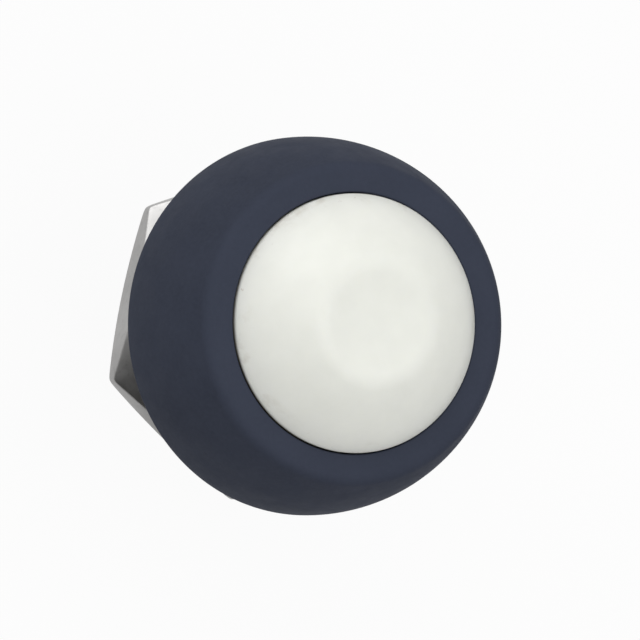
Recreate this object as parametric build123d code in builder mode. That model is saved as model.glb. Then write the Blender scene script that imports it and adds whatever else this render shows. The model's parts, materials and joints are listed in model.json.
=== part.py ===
from build123d import *
from math import ceil, radians, sqrt, tan
import os

# Panel-mounting momentary pushbutton switch, with a round domed head on a 12 mm threaded bushing.
# All sizes are millimetres.  Z is the button's axis and the front faces +Z.  The origin lies on the axis, in
# the panel's front face, where the gasket's underside seats.  The two terminals stand in the XZ plane.

# ---------------------------------------------------------------- driving dimensions

# Button cap
cap_diameter = 11.4
cap_wall = 1.0                  # skirt wall
cap_stand = 0.13                # rim of the cap above the bezel's land, at rest
cap_dome_radius = 6.8
cap_roof = 1.2                  # thickness of the domed roof
cap_edge_radius = 0.2
dish_radius = 2.6               # finger dish in the crown
dish_depth = 0.2
dish_blend_radius = 1.5
spring_seat_width = 1.3         # flat step under the roof that the return spring bears on
spring_seat_drop = 0.2          # height of the step above the rim of the cap
socket_depth = 3.4              # of the hole that takes the plunger's spigot
boss_wall = 0.9
snap_groove_width = 0.5
snap_groove_depth = 0.15
snap_groove_inset = 1.1         # from the socket's bottom to the groove

# Bezel, the visible head of the housing
cap_clearance = 0.15            # radial gap between cap and bezel
land_width = 1.15               # flat ring round the cap
bezel_spread = 1.5              # radial growth of the domed side, from the land out to the widest circle
bezel_height = 6.07             # from the bezel's underside to the land
bezel_foot_height = 0.3         # straight foot under the dome
bezel_foot_radius = 0.22
bezel_edge_radius = 0.3
recess_chamfer = 0.12
recess_depth = 4.27             # from the land to the floor of the cap's recess

# Bushing and rear body
bushing_diameter = 12.0         # plain collar that fills the panel's hole, and the thread's nominal size
collar_length = 1.2
neck_step = 0.2                 # radial step from the collar up to the neck that carries the gasket
neck_lead = 0.15                # height of the cone between neck and collar
relief_run_out = 0.2            # width of the relief beyond one pitch of the thread
relief_step = 0.06              # radial step from the thread's root down to the relief
thread_length = 4.5
thread_pitch = 1.0
thread_allowance = 0.05         # the thread's crests lie this far inside the nominal size
thread_crest_width = 0.125
thread_root_width = 0.17
thread_flank_angle = 30         # between a flank and the plane across the axis
thread_chamfer = 0.35
rear_step = 0.34                # radial step from the thread's root down to the rear body
rear_wall = 0.6
rear_chamfer = 0.3
rear_lip = 0.2                  # housing's rim beyond the potting

# Inside of the housing
web_thickness = 3.0             # wall with the plunger's guide bore, under the cap's recess
ledge_width = 0.3               # step that the terminal base seats on
spring_groove_depth = 0.2       # seat of the return spring in the recess floor
spring_groove_clearance = 0.1
rib_width = 0.6
rib_reach = 1.4                 # from the chamber's wall inwards
rib_gap_below_clip = 0.4
rib_clearance = 0.12

# Plunger
plunger_diameter = 5.04
plunger_clearance = 0.08        # radial, in the guide bore
plunger_foot_length = 0.5       # under the clip's groove
spigot_top_diameter = 3.1       # in the cap's socket
spigot_bottom_diameter = 1.8    # through the contact bridge
spigot_end_length = 0.6         # beyond the bridge retainer
spigot_chamfer = 0.25
socket_clearance = 0.05
socket_end_gap = 0.1

# Travel
button_travel = 1.8
bridge_travel = 1.0             # until the contacts close; the rest is overtravel
closed_gap = 0.03
bottom_gap = 0.1                # cap's skirt above the recess floor when it is pressed home

# Seal ring and clip
seal_cord_diameter = 0.88
seal_clearance = 0.02
seal_groove_play = 0.2
clip_thickness = 0.5
clip_diameter = 6.8
clip_rim_width = 1.0
clip_groove_depth = 0.62
clip_clearance = 0.03
clip_gap = 0.05                 # between the clip and the web, at rest
clip_prong_width = 1.0
clip_mouth_width = 3.2

# Springs
return_wire_diameter = 0.5
return_spring_turns = 4.5
return_spring_clearance = 0.65  # between the spring and the cap's skirt
contact_wire_diameter = 0.3
contact_spring_turns = 3
contact_spring_clearance = 0.25  # between the spring and the plunger's lower spigot
contact_spring_length = 2.2

# Contacts, bridge and retainer
bridge_thickness = 0.5
bridge_width = 2.0
bridge_hub_diameter = 3.8
bridge_end_clearance = 0.75     # between the bridge's ends and the chamber's wall
bridge_fillet = 0.3
bridge_hole_clearance = 0.1
contact_diameter = 1.7
contact_head_height = 0.3
contact_crown_radius = 0.12
contact_shank_diameter = 0.9
clench_diameter = 1.4
clench_height = 0.18
shank_clearance = 0.01
retainer_thickness = 0.5
retainer_gap = 0.27             # between the washer and the bridge's contacts
retainer_clearance = 0.02

# Terminals
terminal_thickness = 0.5
terminal_bend_radius = 0.15
terminal_wall_gap = 0.4         # between the legs and the chamber's wall
tongue_overhang = 0.1           # of the tongue past its contact, towards the axis
terminal_projection = 6.0       # beyond the housing's rear end
eye_diameter = 1.2
eye_from_tip = 1.6

# Terminal base and potting
base_thickness = 1.9
base_clearance = 0.05
slot_clearance = 0.05
well_clearance = 0.3            # round the bridge retainer, which dips into the well
well_end_gap = 0.3              # under the plunger's end, pressed home
base_chamfer = 0.25
key_width = 1.2
key_depth = 0.4
potting_depth = 1.1
potting_clearance = 0.02

# Panel gasket and nut
gasket_thickness = 0.8
gasket_width = 1.45
gasket_clearance = 0.05
nut_wall = 1.0                  # from the thread's nominal size out to the flats
nut_thickness = 2.0
nut_seat_gap = 2.3              # from the panel's front face to the nut
nut_chamfer_angle = 30
nut_chamfer_inset = 0.2         # of the chamfer's circle inside the flats
nut_bore_chamfer = 0.3
nut_turn = 43.8                 # angle of the first corner from X

# ---------------------------------------------------------------- dependent sizes: radii

cap_radius = cap_diameter / 2
skirt_inner_radius = cap_radius - cap_wall
recess_radius = cap_radius + cap_clearance
land_radius = recess_radius + land_width
bezel_radius = land_radius + bezel_spread

collar_radius = bushing_diameter / 2
neck_radius = collar_radius + neck_step
thread_radius = collar_radius - thread_allowance
groove_mouth = thread_pitch - thread_crest_width
thread_depth = (groove_mouth - thread_root_width) / 2 / tan(radians(thread_flank_angle))
thread_root_radius = thread_radius - thread_depth
relief_radius = thread_root_radius - relief_step
rear_radius = thread_root_radius - rear_step
counterbore_radius = rear_radius - rear_wall
chamber_radius = counterbore_radius - ledge_width
nut_flat_radius = collar_radius + nut_wall

plunger_radius = plunger_diameter / 2
guide_radius = plunger_radius + plunger_clearance
spigot_top_radius = spigot_top_diameter / 2
spigot_bottom_radius = spigot_bottom_diameter / 2
socket_radius = spigot_top_radius + socket_clearance
boss_radius = socket_radius + boss_wall
seal_cord_radius = seal_cord_diameter / 2
seal_ring_radius = guide_radius - seal_clearance - seal_cord_radius
seal_groove_radius = seal_ring_radius - seal_cord_radius - seal_clearance
clip_groove_radius = plunger_radius - clip_groove_depth

return_wire_radius = return_wire_diameter / 2
return_spring_radius = skirt_inner_radius - return_spring_clearance - return_wire_radius
contact_wire_radius = contact_wire_diameter / 2
contact_spring_radius = spigot_bottom_radius + contact_spring_clearance + contact_wire_radius

bridge_half_length = chamber_radius - bridge_end_clearance
contact_radius = contact_diameter / 2
contact_reach = bridge_half_length - contact_radius
retainer_radius = contact_reach - contact_radius - retainer_gap
terminal_outer = chamber_radius - terminal_wall_gap
terminal_inner = terminal_outer - terminal_thickness
tongue_inner = contact_reach - contact_radius + tongue_overhang

# ---------------------------------------------------------------- dependent sizes: heights

bezel_underside = gasket_thickness
widest_height = bezel_underside + bezel_foot_height
land_height = bezel_underside + bezel_height
recess_floor = land_height - recess_depth
web_bottom = recess_floor - web_thickness
spring_seat_bottom = recess_floor - spring_groove_depth

cap_rim_height = land_height + cap_stand
dome_centre = cap_rim_height - sqrt(cap_dome_radius**2 - cap_radius**2)
ring_height = dome_centre + sqrt(cap_dome_radius**2 - dish_radius**2)
skirt_bottom = recess_floor + button_travel + bottom_gap
spring_seat_top = cap_rim_height + spring_seat_drop
seat_inner_radius = skirt_inner_radius - spring_seat_width
roof_radius = cap_dome_radius - cap_roof
roof_at_seat = dome_centre + sqrt(roof_radius**2 - seat_inner_radius**2)
roof_at_boss = dome_centre + sqrt(roof_radius**2 - boss_radius**2)
socket_top = skirt_bottom + socket_depth
snap_groove_bottom = socket_top - snap_groove_inset - snap_groove_width

relief_length = thread_pitch + relief_run_out
thread_top = -collar_length - relief_length
thread_bottom = thread_top - thread_length

seal_height = (recess_floor + web_bottom + button_travel) / 2
seal_groove_half = seal_cord_radius + seal_groove_play / 2
clip_top = web_bottom - clip_gap
clip_bottom = clip_top - clip_thickness
shoulder = clip_bottom - clip_clearance - plunger_foot_length
bridge_top = shoulder - contact_spring_length
bridge_bottom = bridge_top - bridge_thickness
retainer_bottom = bridge_bottom - retainer_thickness
plunger_end = retainer_bottom - spigot_end_length
moving_face = bridge_bottom - contact_head_height
fixed_face = moving_face - bridge_travel - closed_gap
tongue_top = fixed_face - contact_head_height
base_top = tongue_top - terminal_thickness
base_bottom = base_top - base_thickness
potting_bottom = base_bottom - potting_depth
rear_end = potting_bottom - rear_lip
terminal_tip = rear_end - terminal_projection
well_radius = retainer_radius + well_clearance
well_bottom = plunger_end - button_travel - well_end_gap
rib_top = clip_bottom - button_travel - rib_gap_below_clip

nut_top = -nut_seat_gap
nut_bottom = nut_top - nut_thickness

os.makedirs("parts", exist_ok=True)


def save(piece, name):
    """Labels a finished piece and writes it as its own STEP file."""
    piece.part.label = name
    export_step(piece.part, f"parts/{name}.step")


# ---------------------------------------------------------------- housing: bezel, bushing and rear body

# One turn of the thread's groove.  The turns run from below the bushing's end up to the middle of the relief.
turn_count = ceil((thread_length + relief_length) / thread_pitch)
groove_end = thread_top + relief_length / 2
groove_start = groove_end - turn_count * thread_pitch
cutter_width = groove_mouth + 2 * thread_allowance * tan(radians(thread_flank_angle))

with BuildPart() as groove_turn:
    with BuildLine() as turn_path:
        Helix(thread_pitch, thread_pitch, thread_radius, center=(0, 0, groove_start))
    with BuildSketch(Plane(turn_path.line @ 0, x_dir=(1, 0, 0), z_dir=turn_path.line % 0)):
        with BuildLine():
            Polyline(
                (-thread_depth, -thread_root_width / 2),
                (-thread_depth, thread_root_width / 2),
                (thread_allowance, cutter_width / 2),
                (thread_allowance, -cutter_width / 2),
                close=True,
            )
        make_face()
    sweep(path=turn_path.line, is_frenet=True)

with BuildPart() as housing:
    with BuildSketch(Plane.XZ) as housing_section:
        with BuildLine():
            bezel_side = TangentArc((bezel_radius, widest_height), (land_radius, land_height), tangent=(0, 1))
            Polyline(
                (land_radius, land_height),
                (recess_radius + recess_chamfer, land_height),
                (recess_radius, land_height - recess_chamfer),
                (recess_radius, recess_floor),
                (guide_radius, recess_floor),
                (guide_radius, web_bottom),
                (chamber_radius, web_bottom),
                (chamber_radius, base_top),
                (counterbore_radius, base_top),
                (counterbore_radius, rear_end),
                (rear_radius - rear_chamfer, rear_end),
                (rear_radius, rear_end + rear_chamfer),
                (rear_radius, thread_bottom),
                (thread_radius - thread_chamfer, thread_bottom),
                (thread_radius, thread_bottom + thread_chamfer),
                (thread_radius, thread_top),
                (relief_radius, thread_top),
                (relief_radius, -collar_length),
                (collar_radius, -collar_length),
                (collar_radius, 0),
                (neck_radius, neck_lead),
                (neck_radius, bezel_underside),
                (bezel_radius, bezel_underside),
                (bezel_radius, widest_height),
            )
        make_face()
        fillet(housing_section.vertices().sort_by_distance((bezel_radius, bezel_underside))[0], bezel_foot_radius)
        fillet(housing_section.vertices().sort_by_distance((land_radius, land_height))[0], bezel_edge_radius)
    revolve(axis=Axis.Z)

    for turn in range(turn_count):
        with Locations((0, 0, turn * thread_pitch)):
            add(groove_turn.part, mode=Mode.SUBTRACT)

    # Seat of the return spring in the recess floor
    with BuildSketch(Plane.XY.offset(recess_floor)):
        Circle(return_spring_radius + return_wire_radius + spring_groove_clearance)
        Circle(return_spring_radius - return_wire_radius - spring_groove_clearance, mode=Mode.SUBTRACT)
    extrude(amount=-spring_groove_depth, mode=Mode.SUBTRACT)

    # Ribs on both sides of each arm of the contact bridge keep it from turning
    rib_centre_x = chamber_radius - rib_reach / 2 + ledge_width / 2
    rib_centre_y = bridge_width / 2 + rib_clearance + rib_width / 2
    with BuildSketch(Plane.XY.offset(base_top)):
        with GridLocations(2 * rib_centre_x, 2 * rib_centre_y, 2, 2):
            Rectangle(rib_reach + ledge_width, rib_width)
    extrude(amount=rib_top - base_top)

    # Key in the counterbore that sets the angle of the terminal base
    with BuildSketch(Plane.XY.offset(base_bottom)):
        with Locations((0, counterbore_radius)):
            Rectangle(key_width, 2 * key_depth)
    extrude(amount=base_thickness)
save(housing, "housing")

# ---------------------------------------------------------------- button cap

with BuildPart() as button_cap:
    with BuildSketch(Plane.XZ) as cap_section:
        with BuildLine():
            TangentArc((0, ring_height - dish_depth), (dish_radius, ring_height), tangent=(1, 0))
            RadiusArc((dish_radius, ring_height), (cap_radius, cap_rim_height), cap_dome_radius)
            Polyline(
                (cap_radius, cap_rim_height),
                (cap_radius, skirt_bottom),
                (skirt_inner_radius, skirt_bottom),
                (skirt_inner_radius, spring_seat_top),
                (seat_inner_radius, spring_seat_top),
                (seat_inner_radius, roof_at_seat),
            )
            RadiusArc((boss_radius, roof_at_boss), (seat_inner_radius, roof_at_seat), roof_radius)
            Polyline(
                (boss_radius, roof_at_boss),
                (boss_radius, skirt_bottom),
                (socket_radius, skirt_bottom),
                (socket_radius, snap_groove_bottom),
                (socket_radius + snap_groove_depth, snap_groove_bottom),
                (socket_radius + snap_groove_depth, snap_groove_bottom + snap_groove_width),
                (socket_radius, snap_groove_bottom + snap_groove_width),
                (socket_radius, socket_top),
                (0, socket_top),
                (0, ring_height - dish_depth),
            )
        make_face()
        fillet(cap_section.vertices().sort_by_distance((dish_radius, ring_height))[0], dish_blend_radius)
        fillet(cap_section.vertices().sort_by_distance((cap_radius, cap_rim_height))[0], cap_edge_radius)
    revolve(axis=Axis.Z)
save(button_cap, "button_cap")

# ---------------------------------------------------------------- plunger

bead_radius = socket_radius + snap_groove_depth - socket_clearance
bead_bottom = snap_groove_bottom + socket_clearance
bead_top = snap_groove_bottom + snap_groove_width - socket_clearance
spigot_top = socket_top - socket_end_gap

with BuildPart() as plunger:
    with BuildSketch(Plane.XZ):
        with BuildLine():
            Polyline(
                (0, spigot_top),
                (spigot_top_radius - spigot_chamfer, spigot_top),
                (spigot_top_radius, spigot_top - spigot_chamfer),
                (spigot_top_radius, bead_top),
                (bead_radius, bead_top),
                (bead_radius, bead_bottom),
                (spigot_top_radius, bead_bottom),
                (spigot_top_radius, skirt_bottom),
                (plunger_radius, skirt_bottom),
                (plunger_radius, seal_height + seal_groove_half),
                (seal_groove_radius, seal_height + seal_groove_half),
                (seal_groove_radius, seal_height - seal_groove_half),
                (plunger_radius, seal_height - seal_groove_half),
                (plunger_radius, clip_top + clip_clearance),
                (clip_groove_radius, clip_top + clip_clearance),
                (clip_groove_radius, clip_bottom - clip_clearance),
                (plunger_radius, clip_bottom - clip_clearance),
                (plunger_radius, shoulder),
                (spigot_bottom_radius, shoulder),
                (spigot_bottom_radius, plunger_end + spigot_chamfer),
                (spigot_bottom_radius - spigot_chamfer, plunger_end),
                (0, plunger_end),
                close=True,
            )
        make_face()
    revolve(axis=Axis.Z)
save(plunger, "plunger")

# ---------------------------------------------------------------- seal ring on the plunger

with BuildPart() as plunger_seal_ring:
    with BuildSketch(Plane.XZ):
        with Locations((seal_ring_radius, seal_height)):
            Circle(seal_cord_radius)
    revolve(axis=Axis.Z)
save(plunger_seal_ring, "plunger_seal_ring")

# ---------------------------------------------------------------- retaining clip, an open ring with three prongs

with BuildPart() as retaining_clip:
    with BuildSketch(Plane.XY.offset(clip_bottom)):
        prong_tip = clip_groove_radius + clip_clearance
        prong_root = clip_diameter / 2 - clip_rim_width / 2
        Circle(clip_diameter / 2)
        Circle(clip_diameter / 2 - clip_rim_width, mode=Mode.SUBTRACT)
        with PolarLocations((prong_tip + prong_root) / 2, 3, start_angle=-30):
            Rectangle(prong_root - prong_tip, clip_prong_width)
        with Locations((0, clip_diameter / 2)):
            Rectangle(clip_mouth_width, clip_diameter, mode=Mode.SUBTRACT)
        Circle(prong_tip, mode=Mode.SUBTRACT)
    extrude(amount=clip_thickness)
save(retaining_clip, "retaining_clip")


# ---------------------------------------------------------------- springs

def coil_spring(mean_radius, wire_radius, bottom, top, turns):
    """A round-wire helical spring that just fills the height between its two seats."""
    height = top - bottom - 2 * wire_radius
    with BuildPart() as spring:
        with BuildLine() as centreline:
            Helix(height / turns, height, mean_radius, center=(0, 0, bottom + wire_radius))
        with BuildSketch(Plane(centreline.line @ 0, z_dir=centreline.line % 0)):
            Circle(wire_radius)
        sweep(is_frenet=True)
    return spring


return_spring = coil_spring(
    return_spring_radius, return_wire_radius, spring_seat_bottom, spring_seat_top, return_spring_turns
)
save(return_spring, "return_spring")

contact_spring = coil_spring(
    contact_spring_radius, contact_wire_radius, bridge_top, shoulder, contact_spring_turns
)
save(contact_spring, "contact_spring")

# ---------------------------------------------------------------- contact bridge

with BuildPart() as contact_bridge:
    with BuildSketch(Plane.XY.offset(bridge_bottom)) as bridge_outline:
        Rectangle(2 * bridge_half_length, bridge_width)
        Circle(bridge_hub_diameter / 2)
        fillet(bridge_outline.vertices(), bridge_fillet)
        Circle(spigot_bottom_radius + bridge_hole_clearance, mode=Mode.SUBTRACT)
        with Locations((-contact_reach, 0), (contact_reach, 0)):
            Circle(contact_shank_diameter / 2, mode=Mode.SUBTRACT)
    extrude(amount=bridge_thickness)
save(contact_bridge, "contact_bridge")

# ---------------------------------------------------------------- washer that holds the bridge on the plunger

with BuildPart() as bridge_retainer:
    with BuildSketch(Plane.XY.offset(retainer_bottom)):
        Circle(retainer_radius)
        Circle(spigot_bottom_radius + retainer_clearance, mode=Mode.SUBTRACT)
    extrude(amount=retainer_thickness)
save(bridge_retainer, "bridge_retainer")


# ---------------------------------------------------------------- contact rivets

def contact_rivet(x, face, head_side, grip, clench):
    """A rivet at x whose crowned head ends in the plane z = face and points to head_side, +1 up or -1 down.

    Its shank fills a hole through a sheet of thickness grip, and a clenched end of height clench stands beyond.
    """
    seat = face - head_side * contact_head_height
    far_side = seat - head_side * grip
    with BuildPart() as rivet:
        with BuildSketch(Plane.XY.offset(seat)):
            with Locations((x, 0)):
                Circle(contact_radius)
        extrude(amount=head_side * contact_head_height)
        crown = rivet.edges().sort_by(Axis.Z)[-1 if head_side > 0 else 0]
        fillet(crown, contact_crown_radius)
        with BuildSketch(Plane.XY.offset(seat)):
            with Locations((x, 0)):
                Circle(contact_shank_diameter / 2 - shank_clearance)
        extrude(amount=-head_side * grip)
        if clench > 0:
            with BuildSketch(Plane.XY.offset(far_side)):
                with Locations((x, 0)):
                    Circle(clench_diameter / 2)
            extrude(amount=-head_side * clench)
    return rivet


for side_name, side in (("left", -1), ("right", 1)):
    save(
        contact_rivet(side * contact_reach, moving_face, -1, bridge_thickness, clench_height),
        f"{side_name}_bridge_contact",
    )
    save(
        contact_rivet(side * contact_reach, fixed_face, 1, terminal_thickness, 0),
        f"{side_name}_fixed_contact",
    )


# ---------------------------------------------------------------- terminals

def solder_terminal(side):
    """A bent strip: a tongue that carries the fixed contact, and a leg with a solder eye near its round tip."""
    terminal_length = tongue_top - terminal_tip - bridge_width / 2
    with BuildPart() as terminal:
        with BuildSketch(Plane.XZ) as strip:
            with BuildLine():
                Polyline(
                    (side * tongue_inner, tongue_top),
                    (side * terminal_outer, tongue_top),
                    (side * terminal_outer, terminal_tip),
                    (side * terminal_inner, terminal_tip),
                    (side * terminal_inner, base_top),
                    (side * tongue_inner, base_top),
                    close=True,
                )
            make_face()
            outer_bend = strip.vertices().sort_by_distance((side * terminal_outer, tongue_top))[0]
            fillet(outer_bend, terminal_bend_radius + terminal_thickness)
            inner_bend = strip.vertices().sort_by_distance((side * terminal_inner, base_top))[0]
            fillet(inner_bend, terminal_bend_radius)
        extrude(amount=bridge_width / 2, both=True)
        with BuildSketch(Plane.YZ):
            with Locations((0, tongue_top)):
                Rectangle(bridge_width, terminal_length, align=(Align.CENTER, Align.MAX))
            with Locations((0, terminal_tip + bridge_width / 2)):
                Circle(bridge_width / 2)
        extrude(amount=side * terminal_outer, mode=Mode.INTERSECT)
        with BuildSketch(Plane.YZ.offset(side * terminal_inner)):
            with Locations((0, terminal_tip + eye_from_tip)):
                Circle(eye_diameter / 2)
        extrude(amount=side * terminal_thickness, mode=Mode.SUBTRACT)
        with BuildSketch(Plane.XY.offset(base_top)):
            with Locations((side * contact_reach, 0)):
                Circle(contact_shank_diameter / 2)
        extrude(amount=terminal_thickness, mode=Mode.SUBTRACT)
    return terminal


for side_name, side in (("left", -1), ("right", 1)):
    save(solder_terminal(side), f"{side_name}_terminal")

# ---------------------------------------------------------------- terminal base

slot_width = bridge_width + 2 * slot_clearance
slot_length = terminal_thickness + 2 * slot_clearance
leg_centre = (terminal_outer + terminal_inner) / 2

with BuildPart() as terminal_base:
    with BuildSketch(Plane.XY.offset(base_bottom)):
        Circle(counterbore_radius - base_clearance)
        with Locations((0, counterbore_radius)):
            Rectangle(key_width + 2 * slot_clearance, 2 * (key_depth + slot_clearance), mode=Mode.SUBTRACT)
        with Locations((-leg_centre, 0), (leg_centre, 0)):
            Rectangle(slot_length, slot_width, mode=Mode.SUBTRACT)
    extrude(amount=base_thickness)
    with BuildSketch(Plane.XY.offset(base_top)):
        Circle(well_radius)
    extrude(amount=well_bottom - base_top, mode=Mode.SUBTRACT)
    # Room for the round inside of each terminal's bend
    bend_edges = terminal_base.edges().filter_by(Axis.Y).group_by(Axis.Z)[-1]
    bend_edges = bend_edges.filter_by(lambda edge: abs(edge.center().X) < leg_centre)
    chamfer(bend_edges, base_chamfer)
save(terminal_base, "terminal_base")

# ---------------------------------------------------------------- potting that seals the rear

with BuildPart() as potting_seal:
    with BuildSketch(Plane.XY.offset(potting_bottom)):
        Circle(counterbore_radius - potting_clearance)
        with Locations((-leg_centre, 0), (leg_centre, 0)):
            Rectangle(
                terminal_thickness + 2 * potting_clearance,
                bridge_width + 2 * potting_clearance,
                mode=Mode.SUBTRACT,
            )
    extrude(amount=potting_depth)
save(potting_seal, "potting_seal")

# ---------------------------------------------------------------- panel gasket

with BuildPart() as panel_gasket:
    with BuildSketch():
        Circle(neck_radius + gasket_clearance + gasket_width)
        Circle(neck_radius + gasket_clearance, mode=Mode.SUBTRACT)
    extrude(amount=gasket_thickness)
save(panel_gasket, "panel_gasket")

# ---------------------------------------------------------------- hexagon nut, chamfered on both faces

with BuildPart() as hex_nut:
    with BuildSketch(Plane.XY.offset(nut_bottom)):
        RegularPolygon(nut_flat_radius, 6, major_radius=False, rotation=nut_turn)
    extrude(amount=nut_thickness)

    # The chamfers are cones; where they cut the flats they leave the curved lines of a turned nut
    cone_radius = nut_flat_radius - nut_chamfer_inset
    nut_middle = (nut_top + nut_bottom) / 2
    cones_meet = cone_radius + nut_thickness / 2 / tan(radians(nut_chamfer_angle))
    with BuildSketch(Plane.XZ):
        with BuildLine():
            Polyline(
                (0, nut_top),
                (cone_radius, nut_top),
                (cones_meet, nut_middle),
                (cone_radius, nut_bottom),
                (0, nut_bottom),
                close=True,
            )
        make_face()
    revolve(axis=Axis.Z, mode=Mode.INTERSECT)

    with BuildSketch(Plane.XY.offset(nut_bottom)):
        Circle(collar_radius)
    extrude(amount=nut_thickness, mode=Mode.SUBTRACT)
    chamfer(hex_nut.edges().filter_by(GeomType.CIRCLE).sort_by(SortBy.RADIUS)[0:2], nut_bore_chamfer)
save(hex_nut, "hex_nut")
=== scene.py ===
import json
import math

import bmesh
import bpy
import numpy as np
from bpy.props import FloatProperty, FloatVectorProperty, PointerProperty
from mathutils import Matrix, Vector


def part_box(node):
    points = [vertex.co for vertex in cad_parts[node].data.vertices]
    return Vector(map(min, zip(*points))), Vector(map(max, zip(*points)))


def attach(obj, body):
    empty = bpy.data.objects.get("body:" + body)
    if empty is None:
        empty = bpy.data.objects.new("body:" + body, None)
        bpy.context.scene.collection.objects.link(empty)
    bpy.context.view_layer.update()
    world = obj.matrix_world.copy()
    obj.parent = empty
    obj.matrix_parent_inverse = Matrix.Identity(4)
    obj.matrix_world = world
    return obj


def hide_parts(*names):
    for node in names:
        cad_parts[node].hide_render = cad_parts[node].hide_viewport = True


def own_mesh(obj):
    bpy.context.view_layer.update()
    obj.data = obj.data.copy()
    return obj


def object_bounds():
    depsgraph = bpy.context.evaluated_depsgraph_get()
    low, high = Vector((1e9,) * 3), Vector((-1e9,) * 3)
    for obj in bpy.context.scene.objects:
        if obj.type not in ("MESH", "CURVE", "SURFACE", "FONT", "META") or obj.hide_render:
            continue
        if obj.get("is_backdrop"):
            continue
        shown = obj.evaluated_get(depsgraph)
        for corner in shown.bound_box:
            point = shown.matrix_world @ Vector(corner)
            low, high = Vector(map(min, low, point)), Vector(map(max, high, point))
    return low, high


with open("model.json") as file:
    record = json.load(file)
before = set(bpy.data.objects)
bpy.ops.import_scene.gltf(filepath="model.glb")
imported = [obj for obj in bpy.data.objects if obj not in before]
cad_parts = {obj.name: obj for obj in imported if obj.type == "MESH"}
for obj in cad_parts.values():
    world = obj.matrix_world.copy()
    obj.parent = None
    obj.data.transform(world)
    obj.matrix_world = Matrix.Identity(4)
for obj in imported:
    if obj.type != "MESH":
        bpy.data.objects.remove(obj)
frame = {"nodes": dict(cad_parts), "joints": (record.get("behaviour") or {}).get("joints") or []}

bl_info = {
    "name": "Pushbutton Switch",
    "version": (1, 0, 0),
    "blender": (4, 5, 0),
    "location": "View3D > Sidebar > Switch",
    "description": "Surfaces and finishes of a panel-mounting pushbutton switch",
    "category": "Object",
}

MM = 0.001
FULL_TURN = 2 * math.pi
WHITE = (1.0, 1.0, 1.0, 1.0)

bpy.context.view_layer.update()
HOUSING_LOW, HOUSING_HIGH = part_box("housing")
CAP_LOW, CAP_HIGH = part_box("button_cap")
NUT_LOW, NUT_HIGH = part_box("hex_nut")
GASKET_LOW, GASKET_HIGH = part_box("panel_gasket")
POTTING_LOW, POTTING_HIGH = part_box("potting_seal")
LEG_LOW, LEG_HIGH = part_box("right_terminal")
PLUNGER_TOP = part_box("plunger")[1].z
BASE_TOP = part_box("terminal_base")[1].z
RETURN_SPRING_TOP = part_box("return_spring")[1].z

# Points round each turned surface
HEAD_STEPS = 192
CAP_STEPS = 192
NUT_STEPS = 600
GASKET_STEPS = 160
RESIN_STEPS = 180

# Steps of the arcs: at rounded corners, round the bezel and over and under the cap
CORNER_STEP = math.radians(15)
LAND_EDGE_STEP = math.radians(8)
SIDE_STEP = math.radians(0.9)
FOOT_STEP = math.radians(10)
DISH_STEP = math.radians(0.8)
BLEND_STEP = math.radians(2)
DOME_STEP = math.radians(1.5)
RIM_STEP = math.radians(7)
CEILING_STEP = math.radians(3)

# Longest run of a profile between two points: in the thread, in the rest of the head and in the cap
THREAD_RUN = 0.05 * MM
HEAD_RUN = 0.8 * MM
CAP_RUN = 0.6 * MM

# The nut: the angle of one side, the points across each face, down its side and up its bore, and how far
# inside the chamfer's circle the points of a face end
HEX_SIDE = math.radians(60)
FACE_POINTS = 5
SIDE_POINTS = 53
BORE_POINTS = 49
FACE_INSET = 0.12 * MM

# The resin: rings from the axis to the wall, closer together near the wall as the power is below one
RESIN_RINGS = 60
RESIN_POWER = 0.7

# A coil: points in each turn and round the wire, points in the window that smooths its rise, and in wire
# diameters how far the wire's middle starts above the seat and what it rises in each end turn
TURN_POINTS = 40
WIRE_POINTS = 14
RISE_WINDOW = 33
SEAT_RISE = 0.3
END_RISE = 0.8


# ---------------- sizes and colours a user would change

def number(name, description, default, **options):
    """A plain number property."""
    return FloatProperty(name=name, description=description, default=default, **options)


def length(name, description, millimetres):
    """A length property whose default is given in millimetres."""
    return number(name, description, millimetres * MM, unit="LENGTH", subtype="DISTANCE", precision=5)


def angle(name, description, degrees):
    """An angle property whose default is given in degrees."""
    return number(name, description, math.radians(degrees), unit="ROTATION", subtype="ANGLE")


def share(name, description, default):
    """A property from nought to one."""
    return number(name, description, default, subtype="FACTOR", min=0.0, max=1.0)


def vector(name, description, default, **options):
    """A property of three numbers."""
    return FloatVectorProperty(name=name, description=description, default=default, size=3, **options)


def colour(name, description, default):
    """A colour property."""
    return vector(name, description, default, subtype="COLOR", min=0.0, max=1.0)


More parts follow.
